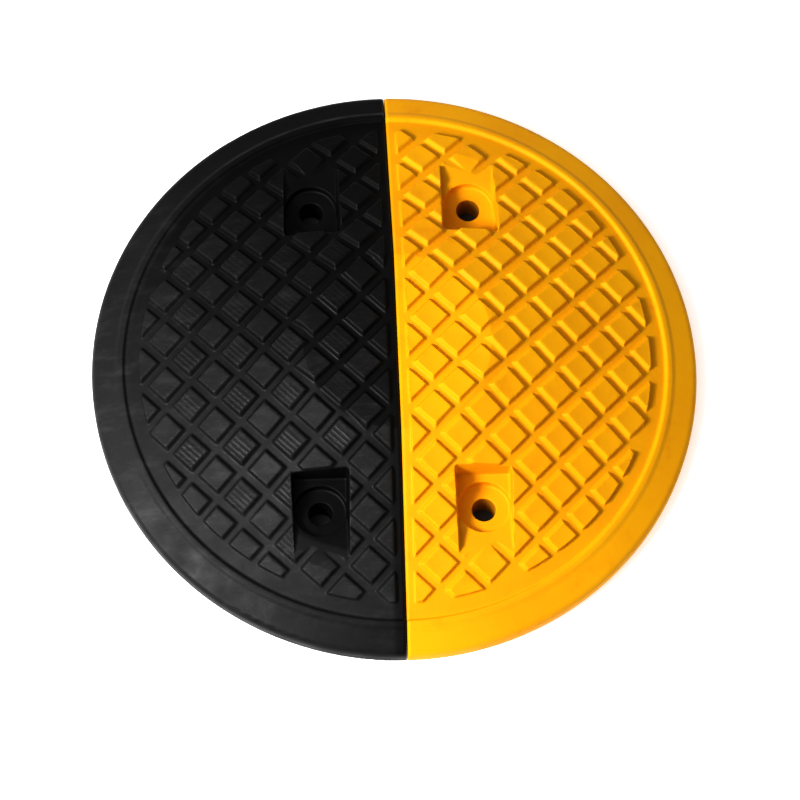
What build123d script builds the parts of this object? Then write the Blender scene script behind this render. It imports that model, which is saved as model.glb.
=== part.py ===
from build123d import *
from math import atan, cos, hypot, radians, sin, sqrt, tan
import os

os.makedirs("parts", exist_ok=True)

# A round rubber speed bump made of two half-round end caps, one black and one yellow.
# Each cap has one tongue and one socket on its flat joint face, so the same mould makes
# both halves: the black cap is the yellow cap turned half a turn about the upright axis.
# Frame: origin at the centre of the disc on the road, +X towards the yellow cap,
# +Y along the joint, +Z up. Everything is in millimetres.

# Overall sizes
overall_diameter = 350.0
overall_height = 50.0  # road to the tops of the studs on the crown
joint_gap = 0.4  # between the two joint faces

# Section of the dome, from the crown outwards
crown_radius = 53.5
slope_foot_height = 15.0  # road to the plain surface where the slope ends
rim_width = 18.0  # plain band round the outside
bead_step_width = 1.5  # the bead's steep inner side
bead_rise = 1.8  # how far the bead stands above the foot of the slope
bead_width = 2.6
bead_fall_width = 2.0  # the bead's soft outer side
bead_fall = 1.5
edge_height = 9.0
edge_radius = 5.0
joint_edge_chamfer = 1.2

# Square studs, set at 45 degrees to the joint
stud_pitch = 19.8
stud_gap = 3.8  # between the feet of neighbouring studs
stud_height = 3.0
stud_side_run = 1.5  # how far each side leans in from foot to top
stud_root = 2.0  # how deep each stud reaches into the dome
stud_margin = 10.0  # plain ring between the studs and the bead
stud_overhang = 4.0  # furthest that a cut stud's centre lies outside the stud circle
first_stud_offset = 5.4  # from the joint to the first line of stud centres
joint_margin = 5.5  # plain strip along the joint

# Fine ribs on every other stud of the black cap
rib_count = 4
rib_pitch = 2.7
rib_width = 1.3
rib_height = 0.5
rib_end_margin = 0.6
rib_shift = 1.1  # the ribs lie towards the edge of the stud that faces away from the joint

# Anchor pockets, two in each cap
anchor_x = 46.0
anchor_y = 93.5
pocket_floor_height = 24.5
pocket_outer_reach = 40.0  # from the anchor to the open end of the pocket
pocket_corner_radius = 1.0
pocket_draft = 5.0
anchor_seat_diameter = 30.0
seat_side_clearance = 0.3  # from the seat to the foot of each side wall
seat_end_clearance = 4.5  # from the seat to the foot of the inner end wall
anchor_seat_depth = 5.0
anchor_hole_diameter = 13.6

# Tongue and socket on the joint face
tongue_offset = 48.0  # along the joint from the centre
tongue_width = 44.0
tongue_length = 14.0
tongue_root = 6.0  # how far the tongue reaches back into its own cap
tongue_height = 18.0
tongue_chamfer = 1.5
socket_clearance = 0.8

# Relief grooves in the underside
groove_pitch = 25.0
groove_width = 7.0
groove_depth = 3.0
groove_edge_margin = 17.0
groove_joint_margin = 24.0
anchor_pad_diameter = 46.0

outer_radius = overall_diameter / 2
crown_surface = overall_height - stud_height
bead_radius = outer_radius - rim_width
foot_radius = bead_radius - bead_step_width
bead_height = slope_foot_height + bead_rise
stud_field_radius = bead_radius - stud_margin
slope = (crown_surface - slope_foot_height) / (foot_radius - crown_radius)
joint_face_x = joint_gap / 2
stud_base = stud_pitch - stud_gap
stud_top = stud_base - 2 * stud_side_run
half_turn = Rot(0, 0, 180)
above_everything = 2 * overall_height


def dome_height(radius):
    """Height of the plain dome under the studs."""
    return crown_surface - slope * max(0.0, radius - crown_radius)


def dome_outline():
    """Upper line of the dome's section, from the crown's centre to the road."""
    bead_end = (bead_radius + bead_width, bead_height - slope * bead_width)
    band_start = (bead_end[0] + bead_fall_width, bead_end[1] - bead_fall)
    band = atan((band_start[1] - edge_height) / (outer_radius - band_start[0]))
    tangent = edge_radius * tan((radians(90) - band) / 2)
    arc_start = (outer_radius - tangent * cos(band), edge_height + tangent * sin(band))
    arc_end = (outer_radius, edge_height - tangent)
    straight = Polyline(
        (0, crown_surface),
        (crown_radius, crown_surface),
        (foot_radius, slope_foot_height),
        (bead_radius, bead_height),
        bead_end,
        band_start,
        arc_start,
    )
    corner = TangentArc(arc_start, arc_end, tangent=(cos(band), -sin(band)))
    side = Line(arc_end, (outer_radius, 0))
    return [*straight.edges(), corner, side]


def dome():
    """The plain dome as a solid of revolution."""
    base = Line((outer_radius, 0), (0, 0))
    axis_line = Line((0, 0), (0, crown_surface))
    section = make_face(Wire([*dome_outline(), base, axis_line]))
    return revolve(Plane.XZ * section, Axis.Z, 360)


def joint_section():
    """The section of the whole dome across the joint plane."""
    right = Curve() + dome_outline()
    whole = right + mirror(right, Plane.YZ)
    base = Line((-outer_radius, 0), (outer_radius, 0))
    return make_face([*whole.edges(), base])


def side_space(start_x):
    """Everything on the +X side of the plane x = start_x."""
    space = Box(overall_diameter, 2 * overall_diameter, 2 * above_everything)
    return Pos(start_x + outer_radius, 0, 0) * space


def half_dome():
    """The half of the dome on the +X side, with its joint edge chamfered."""
    whole = dome()
    behind_chamfer = whole & side_space(joint_face_x + joint_edge_chamfer)
    lowered = Plane(origin=(joint_face_x, 0, -joint_edge_chamfer), x_dir=(0, 1, 0), z_dir=(1, 0, 0))
    rise = Vector(1, 0, 1).normalized()
    strip = extrude(lowered * joint_section(), joint_edge_chamfer * sqrt(2), dir=rise)
    below_road = Pos(0, 0, -overall_height) * Box(overall_diameter, 2 * overall_diameter, 2 * overall_height)
    strip = (strip & whole) - below_road
    return behind_chamfer + strip


def stud():
    """One stud in its own frame, with its foot on the dome at z = 0."""
    lean = stud_side_run / stud_height
    reach_up = stud_height + stud_root
    lower = stud_base + 2 * lean * stud_root
    upper = stud_base - 2 * lean * reach_up
    sections = [
        Pos(0, 0, -stud_root) * Rectangle(lower, lower),
        Pos(0, 0, reach_up) * Rectangle(upper, upper),
    ]
    return loft(sections)


def ribs():
    """The fine ribs across the top of one stud, in the stud's own frame."""
    length = stud_top - 2 * rib_end_margin
    top = stud_height + rib_height
    bars = []
    for number in range(rib_count):
        offset = (number - (rib_count - 1) / 2) * rib_pitch + rib_shift
        bars.append(Pos(offset, 0, top / 2) * Box(rib_width, length, top))
    return bars


def stud_frame(x, y):
    """The plane on the dome in which the stud at (x, y) stands."""
    radius = hypot(x, y)
    inner = dome_height(radius - stud_base / 2)
    outer = dome_height(radius + stud_base / 2)
    lean = (inner - outer) / stud_base
    east = x / max(radius, 1.0)
    north = y / max(radius, 1.0)
    normal = (lean * east, lean * north, 1)
    diagonal = (1, 1, -lean * (east + north))
    return Plane(origin=(x, y, (inner + outer) / 2), x_dir=diagonal, z_dir=normal)


def stud_places():
    """Column, row and position of every stud that reaches into the cap."""
    step = stud_pitch / sqrt(2)
    reach = stud_field_radius + stud_overhang
    count = int(reach / step) + 1
    places = []
    for column in range(count + 1):
        for row in range(-count, count + 1):
            x = first_stud_offset + column * step
            y = row * step
            if (column + row) % 2 == 0 and hypot(x, y) < reach:
                places.append((column, x, y))
    return places


def stud_layer(with_ribs):
    """All studs of a cap, cut to the dome's shape, the stud circle and the joint margin."""
    outline = [
        (0, 0),
        (0, overall_height),
        (crown_radius, overall_height),
        (stud_field_radius, dome_height(stud_field_radius) + stud_height),
        (stud_field_radius, 0),
    ]
    section = make_face(Polyline(*outline, close=True))
    allowed = revolve(Plane.XZ * section, Axis.Z, 360) & side_space(joint_face_x + joint_margin)
    one_stud = stud()
    studs = []
    bars = []
    for column, x, y in stud_places():
        place = stud_frame(x, y).location
        studs.append(place * one_stud)
        ribbed = column % 2 == 0 and column > 0 and hypot(x, y) < stud_field_radius - stud_top / 2
        if with_ribs and ribbed:
            bars += [place * bar for bar in ribs()]
    layer = allowed & Compound(studs)
    return layer.solids(), bars


def pocket(side):
    """The space of one anchor pocket with its seat and through hole; side is -1 or 1."""
    width = anchor_seat_diameter + 2 * seat_side_clearance
    inner_reach = anchor_seat_diameter / 2 + seat_end_clearance
    middle = (pocket_outer_reach - inner_reach) / 2
    foot = RectangleRounded(width, inner_reach + pocket_outer_reach, pocket_corner_radius)
    opening = extrude(foot, above_everything, taper=-pocket_draft)
    opening = Pos(0, side * middle, pocket_floor_height) * opening
    seat_height = pocket_floor_height - anchor_seat_depth
    seat = Cylinder(anchor_seat_diameter / 2, 2 * anchor_seat_depth)
    hole = Cylinder(anchor_hole_diameter / 2, above_everything)
    seat = Pos(0, 0, seat_height + anchor_seat_depth) * seat
    return Pos(anchor_x, side * anchor_y, 0) * (opening + seat + hole)


def tongue():
    """The tongue that stands out of the joint face, with a lead-in round its tip."""
    size = (tongue_length + tongue_root, tongue_width, tongue_height)
    block = Box(*size, align=(Align.MIN, Align.CENTER, Align.MIN))
    block = chamfer(block.faces().sort_by(Axis.X)[0].edges(), tongue_chamfer)
    return Pos(joint_face_x - tongue_length, tongue_offset, 0) * block


def socket():
    """The space for the other cap's tongue, open at the joint face and the underside."""
    depth = tongue_length - joint_face_x + socket_clearance
    width = tongue_width + 2 * socket_clearance
    height = tongue_height + socket_clearance
    return Pos(0, -tongue_offset, 0) * Box(2 * depth, width, 2 * height)


def grooves():
    """Relief grooves across the underside, kept away from the anchors and the joint."""
    reach = outer_radius - groove_edge_margin
    count = int(reach / groove_pitch)
    bars = []
    for number in range(-count, count + 1):
        bars.append(Pos(outer_radius, number * groove_pitch, 0) * Box(
            overall_diameter, groove_width, 2 * groove_depth))
    area = Cylinder(reach, 2 * groove_depth) & side_space(groove_joint_margin)
    pads = [
        Pos(anchor_x, side * anchor_y, 0) * Cylinder(anchor_pad_diameter / 2, above_everything)
        for side in (-1, 1)
    ]
    return (area & Compound(bars)) - pads


def end_cap(with_ribs):
    """One end cap on the +X side of the joint."""
    studs, bars = stud_layer(with_ribs)
    cap = half_dome() + studs
    if bars:
        cap += bars
    cap += tongue()
    cap -= [pocket(-1), pocket(1), socket(), grooves()]
    return cap


nodes = {
    "yellow_end_cap": end_cap(with_ribs=False),
    "black_end_cap": half_turn * end_cap(with_ribs=True),
}
for name, part in nodes.items():
    part.label = name
    export_step(part, f"parts/{name}.step")
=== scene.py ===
import math

import bpy
import numpy as np
from mathutils import Matrix, Vector, noise


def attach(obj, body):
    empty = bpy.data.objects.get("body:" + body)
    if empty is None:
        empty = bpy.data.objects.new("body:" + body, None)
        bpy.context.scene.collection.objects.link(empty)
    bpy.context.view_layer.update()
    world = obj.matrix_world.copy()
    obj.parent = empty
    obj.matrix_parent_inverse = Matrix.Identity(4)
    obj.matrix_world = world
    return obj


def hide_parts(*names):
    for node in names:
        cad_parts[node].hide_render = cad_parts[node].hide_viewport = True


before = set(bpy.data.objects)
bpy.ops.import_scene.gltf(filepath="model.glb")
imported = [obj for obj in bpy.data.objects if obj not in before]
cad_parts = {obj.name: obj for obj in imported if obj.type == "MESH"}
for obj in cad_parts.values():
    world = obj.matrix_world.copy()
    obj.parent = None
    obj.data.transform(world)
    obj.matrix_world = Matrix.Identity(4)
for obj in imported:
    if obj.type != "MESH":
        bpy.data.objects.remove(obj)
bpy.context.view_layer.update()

# A round rubber speed bump made of a black and a yellow end cap. Each cap's visible mesh is
# a soft-edged copy of its CAD solid. Lengths are in metres and angles in degrees; the black
# cap lies on the -X side of the joint and the yellow cap on the +X side.
MM = 0.001

# The camera's view of the object, from an azimuth of 0 at -Y and turned towards +X
CAMERA_DISTANCE = 1.7787
CAMERA_AZIMUTH = -6.52
CAMERA_ELEVATION = 67.23
CAMERA_ROLL = 4.62
LENS_MM = 137.88
SENSOR_MM = 36.0
LENS_SHIFT = (0.006625, -0.035)  # shares of the picture's width

# The dome's section and the stud pattern, as the CAD has them
CROWN_RADIUS = 53.5 * MM
CROWN_SURFACE = 47.0 * MM
DOME_SLOPE = 0.31373
FOOT_RADIUS = 155.5 * MM
OUTER_RADIUS = 175.0 * MM
STUD_HEIGHT = 3.0 * MM
STUD_PITCH = 19.8 * MM
FIRST_STUD = 5.4 * MM
ANCHOR_X = 46.0 * MM
ANCHOR_Y = 93.5 * MM
HOLE_RADIUS = 6.8 * MM
SEAT_HEIGHT = 19.5 * MM

# Making the soft-edged meshes
VOXEL = 0.5 * MM
WELD_DISTANCE = 0.002 * MM
SOFTEN_FACTOR = 0.5
SOFTEN_ROUNDS = 6
FACE_LIMIT = 190000
NORMAL_WEIGHT = 60

# Unevenness of the moulding, in millimetres of sinking
STUD_TOP_FROM = 0.45  # share of the stud's height at which its top begins
STUD_TOP_BLEND = 0.5
STUD_DROP = 0.10
STUD_DROP_SPREAD = 0.22
STUD_TILT = 0.5
YELLOW_DISH = 0.38
BLACK_DISH = 0.12
DISH_SPREAD = 0.14  # square of the dish's radius, in stud pitches
LEAST_RIB_WEAR = 0.4  # share of a rib's height
RIB_WEAR_SPREAD = 0.5
WAVE = 0.18
WAVE_SCALE = 14.0
RIPPLE = 0.06
RIPPLE_SCALE = 70.0
RIPPLE_GRID = 240
NOISE_BIAS = 0.9  # keeps the waves from rising above the CAD surface
EVEN_BELOW = 8 * MM  # the outer edge and the underside stay true
UNEVEN_ABOVE = 11 * MM
NOISE_SPAN = 0.4  # side of the square of the plan that the noise grid covers

# Rubber colours, some of them painted shade and painted sheen
YELLOW = (0.94, 0.455, 0.002, 1)
YELLOW_CLOUD = (0.90, 0.41, 0.002, 1)
# the rubber's deeper tone, also used as painted shade between the studs
YELLOW_DEEP_TONE_AND_SHADE = (0.80, 0.295, 0.001, 1)
YELLOW_DUST = (0.85, 0.60, 0.10, 1)
# painted shade for the inside of the anchor holes
YELLOW_HOLE_SHADE = (0.36, 0.15, 0.006, 1)
BLACK = (0.0015, 0.0015, 0.0016, 1)
# grey of the dust, together with painted sheen on the lit side
BLACK_DUST_AND_SHEEN = (0.019, 0.019, 0.0195, 1)
BLACK_SMEARED = (0.046, 0.046, 0.047, 1)
BLACK_WORN = (0.062, 0.062, 0.063, 1)
DUST_AND_SHEEN_FROM = -75 * MM  # edges of the dust and painted sheen, measured from the origin towards -X and -Y
DUST_AND_SHEEN_TO = 165 * MM
DUST_AND_SHEEN_EDGE_UNEVENNESS = 120 * MM

# Light and floor
WORLD_STRENGTH = 0.275
VIEW_GAMMA = 0.8
FLOOR_HALF = 12.0
FLOOR_GAP = 0.3 * MM
FLOOR_GLOW = 0.6
# painted shade on the floor under the anchor holes
FLOOR_SHADE_UNDER_HOLES = 0.12


def new_object(name, data):
    """A new object in the scene."""
    ob = bpy.data.objects.new(name, data)
    bpy.context.scene.collection.objects.link(ob)
    return ob


def make_camera():
    """The camera, aimed at the frame's origin."""
    data = bpy.data.cameras.new("camera")
    cam = new_object("camera", data)
    data.sensor_width = SENSOR_MM
    data.sensor_fit = "HORIZONTAL"
    data.lens = LENS_MM
    data.shift_x, data.shift_y = LENS_SHIFT
    a, e = math.radians(CAMERA_AZIMUTH), math.radians(CAMERA_ELEVATION)
    back = Vector((math.sin(a) * math.cos(e), -math.cos(a) * math.cos(e), math.sin(e)))
    cam.location = back * CAMERA_DISTANCE
    turn = (-back).to_track_quat("-Z", "Y").to_matrix()
    roll = Matrix.Rotation(math.radians(CAMERA_ROLL), 3, "Z")
    cam.rotation_mode = "QUATERNION"
    cam.rotation_quaternion = (turn @ roll).to_quaternion()
    bpy.context.scene.camera = cam


# ---------------------------------------------------------------- meshes

def apply_modifiers(ob):
    """Gives ob the mesh that its modifiers make, and removes them."""
    graph = bpy.context.evaluated_depsgraph_get()
    mesh = bpy.data.meshes.new_from_object(ob.evaluated_get(graph))
    ob.modifiers.clear()
    old = ob.data
    ob.data = mesh
    bpy.data.meshes.remove(old)


def vertex_vectors(mesh, attribute):
    """One row of three numbers for each vertex."""
    values = np.empty(len(mesh.vertices) * 3, np.float32)
    mesh.vertices.foreach_get(attribute, values)
    return values.reshape(-1, 3)


def dome_height(radius):
    """Height of the plain dome under the studs."""
    return CROWN_SURFACE - DOME_SLOPE * np.clip(radius - CROWN_RADIUS, 0, None)


def hashed(a, b, seed):
    """A steady random number from 0 to 1 for each pair of whole numbers."""
    value = np.sin(a * 12.9898 + b * 78.233 + seed * 37.719) * 43758.5453
    return value - np.floor(value)


def smooth_noise(points, scale, seed, grid=96):
    """Gentle noise of about -1 to 1, looked up from a coarse grid over the plan."""
    low = np.array([-NOISE_SPAN / 2, -NOISE_SPAN / 2])
    cell = NOISE_SPAN / (grid - 1)
    shift = Vector((seed * 17.3, seed * 5.1, seed * 9.7))
    table = np.empty((grid, grid))
    for i in range(grid):
        for j in range(grid):
            at = Vector((low[0] + i * cell, low[1] + j * cell, 0.0)) * scale
            table[i, j] = noise.noise(at + shift)
    place = np.clip((points[:, :2] - low) / cell, 0, grid - 1.001)
    corner = place.astype(int)
    i, j = corner[:, 0], corner[:, 1]
    u, v = (place - corner).T
    near = table[i, j] * (1 - u) + table[i + 1, j] * u
    far = table[i, j + 1] * (1 - u) + table[i + 1, j + 1] * u
    return near * (1 - v) + far * v


def rubber_unevenness(points, side):
    """How far the moulded surface sinks at each point; side is 1 for yellow, -1 for black."""
    radius = np.hypot(points[:, 0], points[:, 1])
    above = points[:, 2] - dome_height(radius)
    on_stud = np.clip((above / STUD_HEIGHT - STUD_TOP_FROM) / STUD_TOP_BLEND, 0, 1)
    on_stud *= (radius < FOOT_RADIUS)

    # Each stud's own place in the pattern, and the place of the point on the stud
    turned = points[:, :2] * side
    along = (turned[:, 0] - FIRST_STUD + turned[:, 1]) / math.sqrt(2) / STUD_PITCH
    across = (turned[:, 1] - turned[:, 0] + FIRST_STUD) / math.sqrt(2) / STUD_PITCH
    row, column = np.round(along), np.round(across)
    u, v = along - row, across - column

    tilt = (hashed(row, column, 1) - 0.5) * u + (hashed(row, column, 2) - 0.5) * v
    drop = STUD_DROP + STUD_DROP_SPREAD * hashed(row, column, 3) + STUD_TILT * tilt
    wear = LEAST_RIB_WEAR + RIB_WEAR_SPREAD * hashed(row, column, 4)
    worn_ribs = np.clip(above - STUD_HEIGHT, 0, None) / MM * wear
    depth = YELLOW_DISH if side > 0 else BLACK_DISH
    dish = depth * np.clip(1 - (u ** 2 + v ** 2) / DISH_SPREAD, 0, 1)
    wave = WAVE * (smooth_noise(points, WAVE_SCALE, 3 + side) + NOISE_BIAS)
    fine_noise = smooth_noise(points, RIPPLE_SCALE, 8 + side, RIPPLE_GRID)
    ripple = RIPPLE * (fine_noise + NOISE_BIAS)
    return (on_stud * (drop + dish + worn_ribs) + wave + ripple) * MM


def moulded_copy(node, name, side):
    """A soft-edged rubber copy of a CAD node, with the small unevenness of a moulding."""
    ob = new_object(name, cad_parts[node].data.copy())
    ob.data.materials.clear()
    weld = ob.modifiers.new("weld", "WELD")
    weld.merge_threshold = WELD_DISTANCE
    remesh = ob.modifiers.new("remesh", "REMESH")
    remesh.mode = "VOXEL"
    remesh.voxel_size = VOXEL
    soften = ob.modifiers.new("soften", "SMOOTH")
    soften.factor = SOFTEN_FACTOR
    soften.iterations = SOFTEN_ROUNDS
    apply_modifiers(ob)

    points = vertex_vectors(ob.data, "co")
    top = np.clip((points[:, 2] - EVEN_BELOW) / (UNEVEN_ABOVE - EVEN_BELOW), 0, 1)
    upward = np.clip(vertex_vectors(ob.data, "normal")[:, 2], 0, 1)
    points[:, 2] -= rubber_unevenness(points, side) * top * upward
    ob.data.vertices.foreach_set("co", points.ravel())
    ob.data.update()

    triangles = len(ob.data.polygons) * 2
    if triangles > FACE_LIMIT:
        thin = ob.modifiers.new("thin", "DECIMATE")
        thin.ratio = FACE_LIMIT / triangles
        apply_modifiers(ob)
    ob.data.shade_smooth()
    even = ob.modifiers.new("even", "WEIGHTED_NORMAL")
    even.mode = "FACE_AREA"
    even.weight = NORMAL_WEIGHT
    apply_modifiers(ob)
    ob.data.name = name
    return ob


# ---------------------------------------------------------------- materials

class Nodes:
    """A short way to write a node tree."""

    def __init__(self, name):
        self.material = bpy.data.materials.new(name)
        self.material.use_nodes = True
        self.tree = self.material.node_tree
        self.shader = self.tree.nodes["Principled BSDF"]
        self.place = self.add("ShaderNodeTexCoord").outputs["Object"]

    def add(self, kind, **settings):
        node = self.tree.nodes.new(kind)
        for key, value in settings.items():
            setattr(node, key, value)
        return node

    def put(self, socket, value):
        """Links a node's output to the socket, or sets a plain value on it."""
        if isinstance(value, bpy.types.NodeSocket):
            self.tree.links.new(value, socket)
        else:
            socket.default_value = value

    def shade(self, **values):
        """Fills in the shader's inputs, each named with underscores for its spaces."""
        for name, value in values.items():
            self.put(self.shader.inputs[name.replace("_", " ")], value)

    def math(self, operation, *values):
        node = self.add("ShaderNodeMath", operation=operation)
        for socket, value in zip(node.inputs, values):
            self.put(socket, value)
        return node.outputs[0]

    def times(self, product, *others):
        for value in others:
            product = self.math("MULTIPLY", product, value)
        return product

    def length(self, a, b):
        squares = self.math("ADD", self.times(a, a), self.times(b, b))
        return self.math("SQRT", squares)

    def ramp(self, value, low, high, to_low=0.0, to_high=1.0):
        """A smooth step from to_low, where value is low, to to_high, where it is high."""
        node = self.add("ShaderNodeMapRange", interpolation_type="SMOOTHSTEP")
        for socket, item in zip(node.inputs, (value, low, high, to_low, to_high)):
            self.put(socket, item)
        return node.outputs[0]

    def noise(self, scale, seed=0.0, detail=3.0, roughness=0.55, streaks=None):
        """Noise of 0 to 1; streaks is the turn about Z and how much finer it is along Y."""
        mapping = self.add("ShaderNodeMapping")
        self.put(mapping.inputs["Vector"], self.place)
        mapping.inputs["Location"].default_value = (seed, seed * 0.37, seed * 0.71)
        if streaks is not None:
            turn, finer = streaks
            mapping.inputs["Rotation"].default_value = (0, 0, math.radians(turn))
            mapping.inputs["Scale"].default_value = (1.0, finer, 1.0)
        node = self.add("ShaderNodeTexNoise")
        self.put(node.inputs["Vector"], mapping.outputs[0])
        node.inputs["Scale"].default_value = scale
        node.inputs["Detail"].default_value = detail
        node.inputs["Roughness"].default_value = roughness
        return node.outputs["Fac"]

    def patches(self, low, high, **settings):
        """Noise spread so that it is 0 below low and 1 above high."""
        return self.ramp(self.noise(**settings), low, high)

    def mix(self, factor, first, second):
        node = self.add("ShaderNodeMix", data_type="RGBA")
        factor_in, first_in, second_in = (node.inputs[i] for i in (0, 6, 7))
        self.put(factor_in, factor)
        self.put(first_in, first)
        self.put(second_in, second)
        return node.outputs[2]

    def bump(self, height, distance, strength, after=None):
        node = self.add("ShaderNodeBump")
        self.put(node.inputs["Height"], height)
        node.inputs["Distance"].default_value = distance
        node.inputs["Strength"].default_value = strength
        if after is not None:
            self.put(node.inputs["Normal"], after)
        return node.outputs[0]

    def axes(self):
        """x, y and z of the shaded point."""
        split = self.add("ShaderNodeSeparateXYZ")
        self.put(split.inputs[0], self.place)
        return split.outputs

    def radius_and_rise(self):
        """Distance from the upright axis, and height above the plain dome."""
        x, y, z = self.axes()
        radius = self.length(x, y)
        beyond_crown = self.math("MAXIMUM", self.math("SUBTRACT", radius, CROWN_RADIUS), 0.0)
        dome = self.math("SUBTRACT", CROWN_SURFACE, self.times(beyond_crown, DOME_SLOPE))
        return radius, self.math("SUBTRACT", z, dome)

    def from_anchor(self):
        """Distance from the nearest anchor hole's axis."""
        x, y = self.axes()[:2]
        east = self.math("SUBTRACT", self.math("ABSOLUTE", x), ANCHOR_X)
        north = self.math("SUBTRACT", self.math("ABSOLUTE", y), ANCHOR_Y)
        return self.length(east, north)

    def in_hole(self):
        """1 inside the anchor holes, below their seats."""
        z = self.axes()[2]
        away = self.math("SUBTRACT", self.from_anchor(), HOLE_RADIUS)
        inside = self.ramp(away, 0.2 * MM, 0.8 * MM, 1.0, 0.0)
        below_seat = self.ramp(z, SEAT_HEIGHT - 1.3 * MM, SEAT_HEIGHT - 0.1 * MM, 1.0, 0.0)
        return self.times(inside, below_seat)


def yellow_rubber():
    """Warm yellow rubber, with painted shade between the studs and inside the anchor holes."""
    n = Nodes("yellow_rubber")
    radius, rise = n.radius_and_rise()
    in_field = n.ramp(radius, FOOT_RADIUS + 0.5 * MM, FOOT_RADIUS - 1.5 * MM)
    stud_gap_shade = n.math("SUBTRACT", 1.0, n.ramp(rise, 0.4 * MM, 2.2 * MM))
    cloud = n.patches(0.35, 0.7, scale=16.0, detail=4.0, roughness=0.6)
    patch = n.patches(0.52, 0.8, scale=60.0, detail=5.0, roughness=0.65, seed=3.0)
    dust = n.patches(0.6, 0.8, scale=140.0, detail=6.0, roughness=0.7, seed=9.0)

    colour = n.mix(cloud, YELLOW, YELLOW_CLOUD)
    # painted shade: the gaps between the studs are darkened towards the deep tone
    colour = n.mix(n.times(stud_gap_shade, in_field, 0.15), colour, YELLOW_DEEP_TONE_AND_SHADE)
    # random patches of the rubber's own deeper tone
    colour = n.mix(n.times(patch, 0.5), colour, YELLOW_DEEP_TONE_AND_SHADE)
    colour = n.mix(n.times(dust, 0.08), colour, YELLOW_DUST)
    # painted shade inside the anchor holes, below their seats
    colour = n.mix(n.times(n.in_hole(), 0.72), colour, YELLOW_HOLE_SHADE)

    roughness = n.ramp(n.noise(scale=60.0, detail=4.0, seed=5.0), 0.3, 0.7, 0.50, 0.62)
    skin = n.bump(n.noise(scale=300.0, seed=1.0), distance=0.10 * MM, strength=0.8)
    fine = n.noise(scale=1500.0, detail=2.0, seed=2.0)
    grain = n.bump(fine, distance=0.03 * MM, strength=0.7, after=skin)
    n.shade(Base_Color=colour, Roughness=roughness, Specular_IOR_Level=0.12, Normal=grain)
    return n.material


def black_rubber():
    """Black rubber, greyed by dust, wear and painted sheen towards -X and -Y, where the key
    light falls, with painted shade in its hollows, on the front of the band and along the
    joint.
    """
    n = Nodes("black_rubber")
    radius, rise = n.radius_and_rise()
    x, y = n.axes()[:2]
    cloud = n.noise(scale=14.0, detail=4.0, roughness=0.6)
    smear = n.patches(0.46, 0.74, scale=55.0, detail=5.0, roughness=0.65, seed=4.0,
                      streaks=(38.0, 2.4))
    scuff = n.patches(0.5, 0.78, scale=240.0, detail=5.0, roughness=0.7, seed=7.0,
                      streaks=(-42.0, 4.0))
    stud_top = n.ramp(rise, 1.6 * MM, 2.8 * MM)
    on_band = n.ramp(radius, FOOT_RADIUS - 1.5 * MM, FOOT_RADIUS + 2.5 * MM)

    # dust and painted sheen: the rubber greys towards -X and -Y, the side the key light falls
    # on
    toward_dust_and_sheen = n.times(n.math("ADD", x, y), -math.sqrt(0.5))
    uneven = n.times(n.math("SUBTRACT", cloud, 0.5), DUST_AND_SHEEN_EDGE_UNEVENNESS)
    dust_and_sheen = n.ramp(n.math("ADD", toward_dust_and_sheen, uneven), DUST_AND_SHEEN_FROM, DUST_AND_SHEEN_TO)
    colour = n.mix(dust_and_sheen, BLACK, BLACK_DUST_AND_SHEEN)
    colour = n.mix(n.times(smear, 0.6, dust_and_sheen), colour, BLACK_SMEARED)
    rubbed = n.math("MAXIMUM", stud_top, n.times(on_band, 0.3))
    # the wear on stud tops and band grows with the dust and painted sheen
    wear = n.math("ADD", n.times(dust_and_sheen, 0.5), 0.15)
    colour = n.mix(n.times(rubbed, scuff, wear), colour, BLACK_WORN)

    # painted shade: the gaps between the studs, the front of the rim band, a strip along the
    # joint and the pocket floors are darkened towards plain black
    valley_shade = n.ramp(rise, 0.5 * MM, 2.2 * MM, 1.0, 0.0)
    in_field = n.ramp(radius, FOOT_RADIUS + 0.5 * MM, FOOT_RADIUS - 3.5 * MM)
    valley_shade = n.times(valley_shade, in_field, n.ramp(dust_and_sheen, 0.9, 0.3, 0.25, 0.85))
    front_band_shade = n.times(on_band, n.ramp(y, -150 * MM, -60 * MM, 0.55, 0.0))
    joint_shade = n.ramp(x, -8.5 * MM, -4.5 * MM, 0.0, 0.85)
    pocket_shade = n.ramp(rise, -1.8 * MM, -0.8 * MM, 1.0, 0.0)
    pocket_shade = n.times(pocket_shade, 0.97, n.ramp(radius, 150 * MM, 145 * MM))
    for painted_shade in (valley_shade, front_band_shade, joint_shade, pocket_shade):
        colour = n.mix(painted_shade, colour, BLACK)

    roughness = n.ramp(n.noise(scale=45.0, detail=4.0, seed=5.0), 0.3, 0.7, 0.42, 0.60)
    skin = n.bump(n.noise(scale=260.0, seed=1.0), distance=0.12 * MM, strength=0.8)
    fine = n.noise(scale=1400.0, detail=2.0, seed=2.0)
    grain = n.bump(fine, distance=0.035 * MM, strength=0.8, after=skin)
    n.shade(Base_Color=colour, Roughness=roughness, Specular_IOR_Level=0.18, Normal=grain)
    return n.material


def finish_piece(node, name, body, material, side):
    """Makes a cap's visible mesh, in place of its CAD node."""
    ob = moulded_copy(node, name, side)
    ob.data.materials.append(material)
    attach(ob, body)
    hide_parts(node)


# ---------------------------------------------------------------- light and floor

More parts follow.
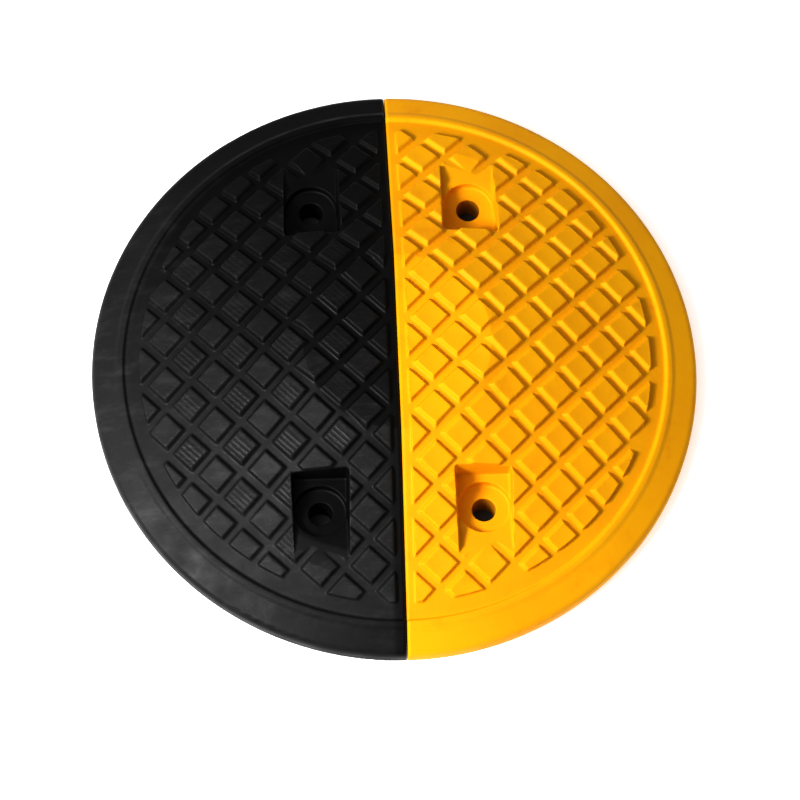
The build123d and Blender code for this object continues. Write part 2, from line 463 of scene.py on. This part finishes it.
def area_light(name, azimuth, elevation, distance, size, power):
    """A disc light that faces the object; azimuth 0 is +X and 90 is +Y."""
    data = bpy.data.lights.new(name, "AREA")
    data.shape = "DISK"
    data.size = size
    data.energy = power
    a, e = math.radians(azimuth), math.radians(elevation)
    toward = Vector((math.cos(a) * math.cos(e), math.sin(a) * math.cos(e), math.sin(e)))
    lamp = new_object(name, data)
    lamp.location = toward * distance
    lamp.rotation_euler = (-toward).to_track_quat("-Z", "Y").to_euler()


def make_surroundings():
    """White light from all round, and a view as contrasty as the photo's."""
    world = bpy.data.worlds.new("world")
    bpy.context.scene.world = world
    world.use_nodes = True
    background = world.node_tree.nodes["Background"]
    background.inputs["Color"].default_value = (1, 1, 1, 1)
    background.inputs["Strength"].default_value = WORLD_STRENGTH
    bpy.context.scene.view_settings.view_transform = "Standard"
    bpy.context.scene.view_settings.gamma = VIEW_GAMMA


def make_floor():
    """A pale floor that glows a little around the object, with painted shade under the anchor
    holes.
    """
    mesh = bpy.data.meshes.new("floor")
    corners = [(-1, -1), (1, -1), (1, 1), (-1, 1)]
    points = [(x * FLOOR_HALF, y * FLOOR_HALF, -FLOOR_GAP) for x, y in corners]
    mesh.from_pydata(points, [], [(0, 1, 2, 3)])

    n = Nodes("floor")
    radius = n.radius_and_rise()[0]
    tone = n.ramp(n.noise(scale=3.0), 0.3, 0.7, 0.90, 0.94)
    # painted shade: the floor is darkened under the anchor holes
    open_floor = n.ramp(n.from_anchor(), 12 * MM, 16 * MM)
    tone = n.times(tone, n.math("MAXIMUM", open_floor, FLOOR_SHADE_UNDER_HOLES))
    grey = n.add("ShaderNodeCombineColor")
    for socket in grey.inputs:
        n.put(socket, tone)
    glow = n.ramp(radius, OUTER_RADIUS - 25 * MM, OUTER_RADIUS + 1 * MM, 0.0, FLOOR_GLOW)
    n.shade(Base_Color=grey.outputs[0], Roughness=0.9, Specular_IOR_Level=0.1,
            Emission_Color=(1, 1, 1, 1), Emission_Strength=glow)
    mesh.materials.append(n.material)
    new_object("floor", mesh)


make_camera()
finish_piece("yellow_end_cap", "yellow_cap", "yellow_half", yellow_rubber(), 1)
finish_piece("black_end_cap", "black_cap", "black_half", black_rubber(), -1)
area_light("key", azimuth=208, elevation=44, distance=1.25, size=0.34, power=20.6)
area_light("soft", azimuth=195, elevation=62, distance=1.7, size=1.1, power=7)
make_surroundings()
make_floor()
